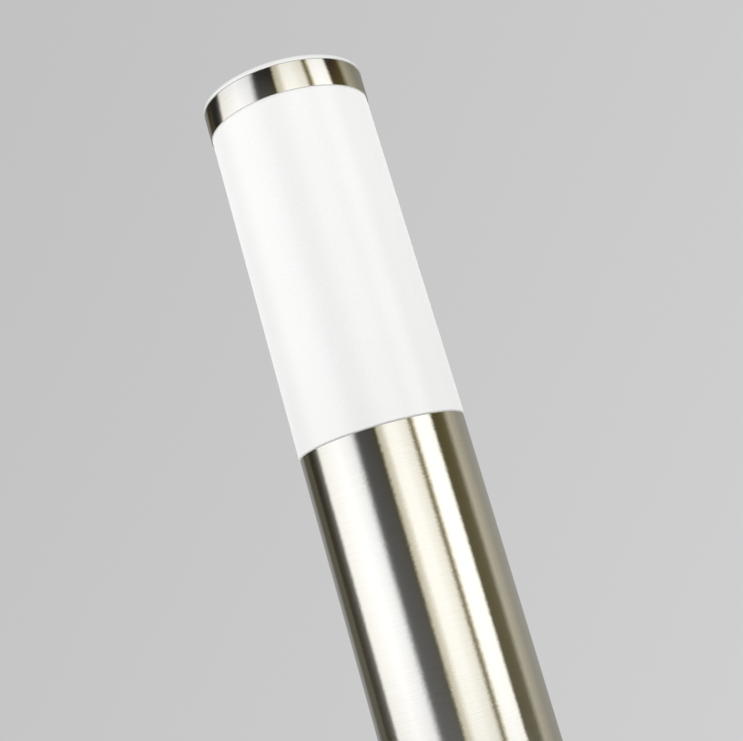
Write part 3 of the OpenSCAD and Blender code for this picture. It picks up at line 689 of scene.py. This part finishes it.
def threaded(mid, plain, low, length, side, flange=None, sides=144, rings_per_turn=18):
    """A sleeve with the lamp's rounded thread, which runs out at its ends, and a plain wall on the
    other side. side is -1 for a thread outside and 1 for one inside; flange is (radius, height)."""
    count = math.ceil(length / PITCH_OF_THREAD * rings_per_turn)
    rings = []
    for j in range(count + 1):
        z = low + length * j / count
        near_end = min(z - low, low + length - z) / (PITCH_OF_THREAD * 0.6)
        full = min(1, near_end) ** 2 * (3 - 2 * min(1, near_end))
        rings.append([(mid + THREAD_DEPTH * (math.cos(TAU * (z / PITCH_OF_THREAD - k / sides)) * full
                                            + side * (1 - full)), z) for k in range(sides)])
    high = low + length
    if flange:
        out, thick = flange
        edge = thick * 0.3
        high += thick
        rings += [[point] * sides for point in (
            (out - edge, high - thick), (out, high - thick + edge), (out, high - edge), (out - edge, high))]
    rings += [[(plain, high)] * sides, [(plain, low)] * sides]
    verts = [(r * math.cos(TAU * k / sides), r * math.sin(TAU * k / sides), z)
             for ring in rings for k, (r, z) in enumerate(ring)]
    faces = []
    for j in range(len(rings)):
        for k in range(sides):
            n, up = (k + 1) % sides, (j + 1) % len(rings)
            faces.append((j * sides + k, j * sides + n, up * sides + n, up * sides + k))
    return verts, faces


def holder_shell_skin():
    low = LAMP_TIP + 4 * MM
    sleeve = threaded(12.92 * MM, 14.2 * MM, low, 18 * MM, 1)
    floor = HOLDER_LOW + 8.05 * MM
    strip = cut(slab((8.8 * MM, -2 * MM, floor), (13.6 * MM, 2 * MM, floor + 0.6 * MM)),
                [drill(RIVET_HOLE, (SHELL_RIVET, 0, floor - MM), (0, 0, 1), 3 * MM)],
                [slab((13 * MM, -2 * MM, floor), (13.6 * MM, 2 * MM, low + 0.4 * MM))])
    return stands_for(make("holder_shell_skin", *join(sleeve, surface(strip))), "holder_shell")


# ---------- lamp ----------

def lamp_contact_skin():
    z = LAMP_TIP
    contact = lathe("lamp_contact_skin", rounded([
        (0, z), (2.2 * MM, z, 1.5 * MM), (3.9 * MM, z + 0.7 * MM, 0.8 * MM),
        (4.5 * MM, z + 1.7 * MM, 0.3 * MM), (4.5 * MM, z + 2.3 * MM), (0, z + 2.3 * MM)]), 96)
    return stands_for(contact, "lamp_contact")


def lamp_insulator_skin():
    z = LAMP_TIP
    insulator = lathe("lamp_insulator_skin", rounded([
        (0, z + 2.35 * MM), (5.2 * MM, z + 2.35 * MM, 0.3 * MM), (7.2 * MM, z + 2.8 * MM, 0.8 * MM),
        (10.9 * MM, z + 5.9 * MM, 0.8 * MM), (10.9 * MM, z + 7.5 * MM), (0, z + 7.5 * MM)]), 144)
    return stands_for(insulator, "lamp_insulator")


def lamp_cap_skin():
    cap = threaded(12.58 * MM, 11 * MM, LAMP_TIP + 6 * MM, 18 * MM, -1, flange=(13.2 * MM, 2 * MM))
    return stands_for(make("lamp_cap_skin", *cap), "lamp_cap")


def housing_skin():
    """The lamp's body, which flares from the cap to the globe."""
    low, high = bottom("lamp_housing"), top("lamp_housing")
    wide, narrow = radius("lamp_housing"), 13.6 * MM
    flare = [(t, (1 - math.cos(math.pi * t)) / 2) for t in (i / 48 for i in range(49))]
    side = [(narrow + (wide - narrow) * wider, low + (high - low) * t) for t, wider in flare]
    wall = 1.4 * MM
    outline = side[:-1] + [(wide, high - 0.3 * MM), (wide - 0.3 * MM, high)]
    outline += [(r - wall, z) for r, z in reversed(side)]
    return stands_for(lathe("lamp_housing_skin", outline, 192), "lamp_housing")


def globe_skin():
    wide, low, high = radius("lamp_globe"), bottom("lamp_globe"), top("lamp_globe")
    wall, rise, steps = 1.4 * MM, 33 * MM, 48
    middle = high - rise
    start = math.asin((low - middle) / rise)

    def arc(r, h):
        angles = (start + (math.pi / 2 - start) * i / steps for i in range(steps))
        return [(r * math.cos(a), middle + h * math.sin(a)) for a in angles] + [(0, middle + h)]

    outline = arc(wide, rise) + arc(wide - wall, rise - wall)[::-1]
    return stands_for(lathe("lamp_globe_skin", outline, 192), "lamp_globe")


# ---------- screws and wires ----------

def pan_screw(shank_r, shank_len, head_r, head_h, drive_r, sides):
    """A screw with its head's underside at z = 0, and a cross or a hexagon in the head."""
    edge = head_h * 0.45
    dome = [(head_r - edge + edge * math.sin(a), head_h - edge + edge * math.cos(a))
            for a in (math.pi / 2 * i / 8 for i in range(8, -1, -1))]
    screw = lathe("screw", rounded([
        (0, -shank_len), (shank_r, -shank_len, shank_r * 0.3), (shank_r, 0), (head_r, 0, head_h * 0.08)])
        + dome + [(0, head_h)], 48)
    deep = head_h * 0.4
    if sides == 6:
        cutters = [drill(drive_r, (0, 0, deep), (0, 0, 1), head_h, 6)]
    else:
        arm = drive_r * 0.2
        cutters = [slab((-drive_r, -arm, deep), (drive_r, arm, 2 * head_h)),
                   slab((-arm, -drive_r, deep), (arm, drive_r, 2 * head_h))]
    return surface(cut(screw, cutters))


def forward(x, y, z):
    """A screw's place when its head faces the front, -Y. Lengths are in millimetres."""
    return Matrix.Translation(Vector((x, y, z)) * MM) @ Matrix.Rotation(math.pi / 2, 4, "X")


def upward(x, y, z):
    return Matrix.Translation(Vector((x, y, z)) * MM)


def screws(node, places, *sizes, sides=4):
    """All the screws of a node, from their places and pan_screw's sizes in millimetres."""
    screw = pan_screw(*(size * MM for size in sizes), sides)
    return stands_for(make(node + "_skin", *join(*(moved(screw, place) for place in places))), node)


def all_screws():
    out = Matrix.Rotation(math.pi / 2, 4, "Y")
    on_post = Matrix.Translation((POST_R + 0.05 * MM, 0, SIDE_SCREW_Z)) @ out
    screws("side_screws", [round_the_axis(a) @ on_post for a in SIDE_ANGLES], 2, 6, 3.8, 2.2, 1.45, sides=6)
    x, y = BRACKET_SCREWS
    screws("bracket_screws", [upward(s * x, y, 7.5) for s in (-1, 1)], 2, 5, 3.6, 2.4, 2)
    screws("terminal_screws", [forward(x, 2.6, z) for x in (-10, 0, 10) for z in (47.5, 58.5)],
           1.3, 2, 2.1, 2.6, 1.4)
    screws("block_screws", [forward(s * 5, 1.5, 53) for s in (-1, 1)], 1.5, 15.5, 1.9, 1.8, 1.3)
    screws("earth_screws", [forward(s * 10, 11.6, 35) for s in (-1, 1)] + [upward(-16, 16.5, 254.5)],
           2, 6, 3.6, 2.4, 2)
    screws("plate_screws", [round_the_axis(a) @ upward(BOSS_RING, 0, 254.5) for a in BOLT_ANGLES],
           1.5, 7.5, 2.8, 1.8, 1.6)
    screws("holder_terminal_screws", [forward(s * 5, -2.6, 257.6) for s in (-1, 1)], 1, 1.2, 1.7, 1.2, 1.1)
    screws("holder_screws", [upward(s * EAR_X, 0, 259.5) for s in (-1, 1)], 1.5, 10, 2.8, 2.2, 1.6)


# The wires' routes in millimetres, and a vector that none of their stretches runs along
WIRES = {
    "live_wire": ((1, 0, 0), [
        (-10, 6, 54), (-10, 6, 60), (-10, 6, 66), (-9, 9, 79), (-5, 18, 97), (-2, 26, 119), (-1, 29, 147),
        (-1, 29, 176), (-1, 24, 205), (-3, 14, 227), (-4, 6, 240), (-5, 0, 249), (-5, 0, 253), (-5, 0, 258)]),
    "neutral_wire": ((1, 0, 0), [
        (0, 6, 54), (0, 6, 60), (0, 6, 66), (1, 9, 78), (4, 18, 97), (7, 26, 120), (8, 28, 147),
        (7, 28, 176), (6, 23, 206), (5, 12, 229), (5, 4, 241), (5, 0, 249), (5, 0, 253), (5, 0, 258)]),
    "earth_wire_lower": ((0, 1, 0), [
        (10, 6, 54), (10, 6, 60), (10, 6, 67), (12, 6, 73), (17, 6.5, 76), (22, 7.5, 73), (24, 8, 65),
        (24.5, 9, 53), (25, 10.5, 43), (24, 11, 37), (21.5, 11, 35), (19.5, 11, 35), (15.6, 11, 35)]),
    "earth_wire_upper": ((0, 1, 0), [
        (-15.6, 11, 35), (-19.5, 11, 35), (-22, 11, 35), (-25, 12, 38), (-27, 15, 47), (-26, 19, 62),
        (-21, 24, 84), (-14, 27, 110), (-10, 29, 140), (-10, 29, 172), (-9, 26, 202), (-3, 22, 230),
        (1, 19, 240), (2, 17, 247), (0, 16.5, 250.8), (-3.5, 16.5, 251.5), (-6.8, 16.5, 251.5),
        (-10.4, 16.5, 251.5)]),
}


def wire_skin(node, across, route, r=1.1 * MM, steps=12, sides=24):
    """A round wire swept along a Catmull-Rom curve through the route."""
    points = [Vector(p) * MM for p in route]
    points = [points[0]] + points + [points[-1]]
    path = []
    for a, b, c, d in zip(points, points[1:], points[2:], points[3:]):
        for t in (s / steps for s in range(steps)):
            path.append(0.5 * (2 * b + (c - a) * t + (2 * a - 5 * b + 4 * c - d) * t ** 2
                               + (3 * b - a - 3 * c + d) * t ** 3))
    path.append(points[-1])
    verts, faces = [], []
    for i, here in enumerate(path):
        heading = (path[min(i + 1, len(path) - 1)] - path[max(i - 1, 0)]).normalized()
        u = heading.cross(Vector(across)).normalized()
        v = heading.cross(u)
        verts += [here + a * u + b * v for a, b in circle(r, sides)]
    for i in range(len(path) - 1):
        for k in range(sides):
            n = (k + 1) % sides
            faces.append((i * sides + k, i * sides + n, (i + 1) * sides + n, (i + 1) * sides + k))
    faces += [tuple(range(sides)), tuple(len(verts) - 1 - k for k in range(sides))]
    return stands_for(make(node + "_skin", verts, faces), node)


# How far the edges of the stamped and moulded parts are rounded, in millimetres
SOFT_EDGES = {
    "terminal_bracket": 0.2, "terminal_block": 0.35, "terminal_tubes": 0.15, "holder_plate": 0.15,
    "holder_terminals": 0.15, "earth_lugs": 0.1, "earth_nut": 0.25, "holder_nuts": 0.2,
    "contact_foot": 0.06, "centre_contact": 0.06, "contact_rivets": 0.15, "led_board": 0.12,
    "led_chips": 0.12, "driver_board": 0.12, "driver_parts": 0.4,
}


def soft_edged(node, width):
    """The node's own shape, with its flats made whole and its sharp edges rounded."""
    work = bmesh.new()
    work.from_mesh(NODES[node].data)
    bmesh.ops.remove_doubles(work, verts=work.verts, dist=1e-6)
    bmesh.ops.dissolve_limit(work, angle_limit=math.radians(1), verts=work.verts, edges=work.edges)
    mesh = bpy.data.meshes.new(node + "_skin")
    work.to_mesh(mesh)
    work.free()
    obj = bpy.data.objects.new(node + "_skin", mesh)
    bpy.context.scene.collection.objects.link(obj)
    bevel = obj.modifiers.new("edges", "BEVEL")
    bevel.width = width * MM
    bevel.segments = 3
    bevel.limit_method = "ANGLE"
    bevel.angle_limit = math.radians(35)
    bpy.context.view_layer.update()
    rounded_mesh = bpy.data.meshes.new_from_object(obj.evaluated_get(bpy.context.evaluated_depsgraph_get()))
    obj.modifiers.clear()
    obj.data = rounded_mesh
    for polygon in rounded_mesh.polygons:
        polygon.use_smooth = True
    rounded_mesh.set_sharp_from_angle(angle=CREASE)
    return stands_for(obj, node)


base_pad_skin()
base_plate_skin()
locating_ring_skin()
grommet_skin()
post_skin()
diffuser_skin()
band_skin()
cap_skin()
foot_ring_skin()
orings_skin()
seal_skin()
collar_skin()
holder_body_skin()
holder_shell_skin()
lamp_contact_skin()
lamp_insulator_skin()
lamp_cap_skin()
housing_skin()
globe_skin()
all_screws()
for node, (across, route) in WIRES.items():
    wire_skin(node, across, route)
for node, width in SOFT_EDGES.items():
    soft_edged(node, width)


# ---------- studio ----------

# The camera's place from the joint, its lens in millimetres and its tilt
CAMERA_DISTANCE = 0.6205
CAMERA_BELOW_JOINT = 0.0924
CAMERA_LENS = 67.8
PITCH, YAW, ROLL = math.radians(11.21), math.radians(-0.366), math.radians(-16.29)
FLOOR_R = 0.7
FLOOR_GREY = 0.76
BACKDROP_GREY = 0.60


def add_camera():
    data = bpy.data.cameras.new("camera")
    data.lens = CAMERA_LENS
    data.sensor_width = 36
    data.clip_start = 0.01
    camera = bpy.data.objects.new("camera", data)
    turn = (Matrix.Rotation(YAW, 4, "Z") @ Matrix.Rotation(math.pi / 2 + PITCH, 4, "X")
            @ Matrix.Rotation(ROLL, 4, "Z"))
    place = Matrix.Translation((0, -CAMERA_DISTANCE, JOINT - CAMERA_BELOW_JOINT))
    camera.matrix_world = place @ turn
    bpy.context.scene.collection.objects.link(camera)
    bpy.context.scene.camera = camera


def add_floor():
    rim = [(x, y, 0) for x, y in circle(FLOOR_R, 96)]
    floor = make("floor", rim, [tuple(range(96))])
    s = Shader("floor", (FLOOR_GREY,) * 3, 0.85, Specular_IOR_Level=0.1)
    s.tint(s.spread(s.noise((3, 3, 3)), 0, 1), (FLOOR_GREY * 0.985,) * 3)
    floor.data.materials.append(s.material)


# The studio as the steel mirrors it: (azimuth in degrees, brightness, warmth). Azimuth 0 is the
# front and it grows to the right. Warmth takes a little blue out of the light.
PANELS = [
    (-180, 0.40, 0.04), (-150, 0.34, 0.08), (-140, 0.13, 0.24), (-127, 0.15, 0.36), (-121, 0.06, 0.42),
    (-112, 0.085, 0.30), (-103, 0.22, 0.15), (-97, 1.34, 0.08), (-65, 1.55, 0.02), (-47, 1.37, 0.00),
    (-41, 1.24, 0.00), (-33, 0.21, 0.04), (-28, 0.145, 0.02), (-12, 0.13, 0.14), (-7, 0.13, 0.40),
    (-3, 0.84, 0.28), (2, 0.98, 0.24), (8, 1.48, 0.11), (20, 1.50, 0.09), (37, 1.24, 0.16),
    (40, 0.70, 0.28), (43, 0.17, 0.50), (46, 0.72, 0.42), (49, 1.55, 0.10), (60, 1.60, 0.02),
    (73, 1.56, 0.10), (77, 0.15, 0.52), (87, 0.155, 0.54), (97, 0.18, 0.48), (107, 0.60, 0.28),
    (130, 0.40, 0.22), (180, 0.38, 0.04),
]
SKY = 1.17              # soft light on matt surfaces, from level with them
SIDE_LIGHT = 0.24       # how much of it is added from the left and the right
SKY_FALL = 0.6          # how much of it is lost towards straight overhead
SKY_LEAN = 0.04         # how much stronger it is from the left and from the front
OVERHEAD = 0.7          # brightness of the ceiling and the floor's bounce in mirrors
OVERHEAD_FROM = 0.85    # z of the direction in which they begin
BACKDROP_ACROSS = 0.18  # how fast the backdrop brightens to the right
BACKDROP_WIDE = 0.3     # x of the direction at which that stops
BACKDROP_UP = -0.16     # how fast it brightens upwards
# How the panels' brightness goes with z of the mirrored direction: it grows by PANEL_RISE for each
# unit from PANEL_LOW to PANEL_PEAK, and above level it falls by PANEL_FALL and loses PANEL_LOSS.
PANEL_LOW, PANEL_PEAK = -0.2, 0.12
PANEL_LEVEL = 0.98
PANEL_RISE = 0.9
PANEL_FALL = 0.4
PANEL_LOSS = 0.2
PANEL_DARKEST = 0.02


def mirrored_room(world, z, azimuth):
    """What the steel mirrors: the panels all round, and a plain ceiling and floor."""
    ramp = world.add("ShaderNodeValToRGB")
    world.link(world.math("ADD", world.math("DIVIDE", azimuth, TAU), 0.5), ramp.inputs["Fac"])
    stops = ramp.color_ramp.elements
    for i, (degrees, level, warmth) in enumerate(PANELS):
        at = (degrees + 180) / 360
        if i < 2:
            stop = stops[i]
            stop.position = at
        else:
            stop = stops.new(at)
        stop.color = (level, level * (1 - warmth * 0.25), level * (1 - warmth), 1)
    up = world.math("MAXIMUM", z, 0.0)
    near_level = world.math("MAXIMUM", world.math("MINIMUM", z, PANEL_PEAK), PANEL_LOW)
    growth = world.math("MULTIPLY_ADD", near_level, PANEL_RISE, PANEL_LEVEL)
    brightness = world.math("SUBTRACT", growth, world.math("MULTIPLY", up, PANEL_FALL))
    lost = world.math("MULTIPLY", up, -PANEL_LOSS)
    panels = world.vector_math("MULTIPLY_ADD", ramp.outputs["Color"], brightness, lost)
    panels = world.vector_math("MAXIMUM", panels, (PANEL_DARKEST,) * 3)
    steep = world.math("SUBTRACT", world.math("ABSOLUTE", z), OVERHEAD_FROM)
    ceiling = world.math("SMOOTH_MIN", world.math("MAXIMUM", world.math("MULTIPLY", steep, 8.0), 0.0), 1.0)
    return world.mix(ceiling, panels, (OVERHEAD,) * 3 + (1,))


def soft_light(world, x, y, z):
    """Strongest from the sides, and a little stronger from the left and the front."""
    lean = world.math("ADD", world.math("MULTIPLY", x, -SKY_LEAN), world.math("MULTIPLY", y, -SKY_LEAN))
    sides = world.math("MULTIPLY", world.math("MULTIPLY", x, x), SIDE_LIGHT)
    fade = world.math("SUBTRACT", 1.0, world.math("MULTIPLY", world.math("MAXIMUM", z, 0.0), SKY_FALL))
    level = world.math("ADD", world.math("ADD", lean, sides), fade)
    return world.grey(world.math("MULTIPLY", level, SKY))


def backdrop(world, x, z):
    """Pale grey, a little darker to the upper left."""
    near = world.math("MINIMUM", world.math("MAXIMUM", x, -BACKDROP_WIDE), BACKDROP_WIDE)
    across = world.math("MULTIPLY", near, BACKDROP_ACROSS)
    fall = world.math("ADD", across, world.math("MULTIPLY", z, BACKDROP_UP))
    return world.grey(world.math("MULTIPLY", world.math("ADD", fall, 1.0), BACKDROP_GREY))


def add_world():
    """Mirrors see the room, matt surfaces the soft light and the camera the backdrop."""
    studio = bpy.data.worlds.new("studio")
    bpy.context.scene.world = studio
    world = NodeTree(studio)
    world.tree.nodes.clear()
    where = world.add("ShaderNodeSeparateXYZ")
    world.link(world.add("ShaderNodeTexCoord").outputs["Generated"], where.inputs[0])
    x, y, z = where.outputs
    azimuth = world.math("ARCTAN2", x, world.math("MULTIPLY", y, -1.0))
    path = world.add("ShaderNodeLightPath").outputs
    lit = world.mix(path["Is Glossy Ray"], soft_light(world, x, y, z), mirrored_room(world, z, azimuth))
    seen = world.mix(path["Is Camera Ray"], lit, backdrop(world, x, z))
    background = world.add("ShaderNodeBackground")
    world.link(seen, background.inputs["Color"])
    world.link(background.outputs[0], world.add("ShaderNodeOutputWorld").inputs["Surface"])


add_camera()
add_floor()
add_world()
bpy.context.scene.view_settings.view_transform = "Standard"
bpy.context.scene.view_settings.look = "None"
